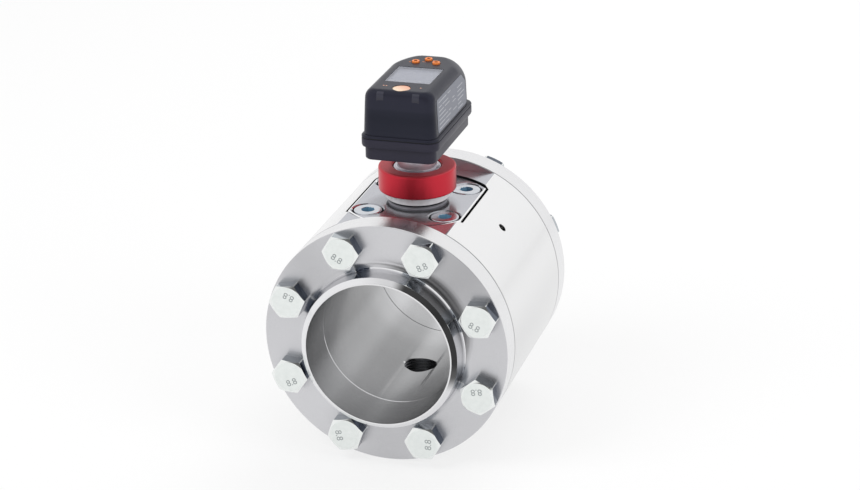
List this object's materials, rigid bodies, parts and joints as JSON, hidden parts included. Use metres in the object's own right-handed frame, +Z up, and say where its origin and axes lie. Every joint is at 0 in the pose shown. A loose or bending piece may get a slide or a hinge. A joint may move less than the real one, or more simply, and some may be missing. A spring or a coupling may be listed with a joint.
{
  "type": "in-line compressed air flow meter",
  "caption": "In-line air flow meter: thick flanged pipe section with weld-on ends, bolted plate, red union nut, sensor probe in the bore and a swivelling display head with push keys.",
  "frame": {"origin": "where the axis of the pipe crosses the axis of the sensor, in the middle of the bore", "axes": "+Y along the pipe from inlet to outlet, +Z up along the sensor to the display head, +X to the right seen from the inlet"},
  "size_m": [0.14, 0.16, 0.2076],
  "materials": {
    "body_steel": "fine turned, bright",
    "flange_steel": "fine turned, satin",
    "bolt_zinc": "zinc plated",
    "plate_steel": "bright, milled",
    "screw_steel": "bright",
    "seal_rubber": "matt",
    "nut_red": "anodised, satin",
    "stem_steel": "polished",
    "probe_steel": "fine ground",
    "washer_plastic": "smooth",
    "head_plastic": "fine grain",
    "window_clear": "clear",
    "panel_grey": "display face, off",
    "inlay_cream": "smooth",
    "light_clear": "clear rods",
    "label_grey": "printed film, blank",
    "board_green": "solder resist",
    "key_orange": "satin",
    "socket_brass": "nickel plated",
    "insert_black": "smooth",
    "pin_gold": "gold plated"
  },
  "bodies": {
    "pipe_section": {"measuring_body": "body_steel", "inlet_flange": "flange_steel", "inlet_seal": "seal_rubber", "outlet_flange": "flange_steel", "outlet_seal": "seal_rubber", "inlet_bolts": "bolt_zinc", "outlet_bolts": "bolt_zinc", "mounting_plate": "plate_steel", "plate_seal": "seal_rubber", "plate_screws": "screw_steel", "union_nut": "nut_red", "sensor_stem": "stem_steel", "stem_seal": "seal_rubber", "probe_tube": "probe_steel", "heated_tip": "probe_steel", "reference_tip": "probe_steel", "swivel_washer": "washer_plastic", "swivel_clip": "screw_steel"},
    "head": {"head_base": "head_plastic", "head_gasket": "seal_rubber", "head_cover": "head_plastic", "cover_screws": "screw_steel", "display_window": "window_clear", "display_panel": "panel_grey", "round_inlay": "inlay_cream", "status_lights": "light_clear", "rating_label": "label_grey", "circuit_board": "board_green", "key_mat": "seal_rubber", "socket_shell": "socket_brass", "socket_nut": "socket_brass", "socket_insert": "insert_black", "socket_pins": "pin_gold"},
    "left_key": {"left_key": "key_orange"},
    "rear_key": {"rear_key": "key_orange"},
    "right_key": {"right_key": "key_orange"}
  },
  "joints": [
    {"name": "head_swivel", "type": "hinge", "parent": "pipe_section", "child": "head", "pos_m": [0, 0, 0.1], "axis": [0, 0, 1], "range_deg": [-172.5, 172.5]},
    {"name": "left_key_press", "type": "slide", "parent": "head", "child": "left_key", "axis": [0, 0, -1], "range_m": [0, 0.0007], "stiffness_N_per_m": 2500},
    {"name": "rear_key_press", "type": "slide", "parent": "head", "child": "rear_key", "axis": [0, 0, -1], "range_m": [0, 0.0007], "stiffness_N_per_m": 2500},
    {"name": "right_key_press", "type": "slide", "parent": "head", "child": "right_key", "axis": [0, 0, -1], "range_m": [0, 0.0007], "stiffness_N_per_m": 2500}
  ]
}
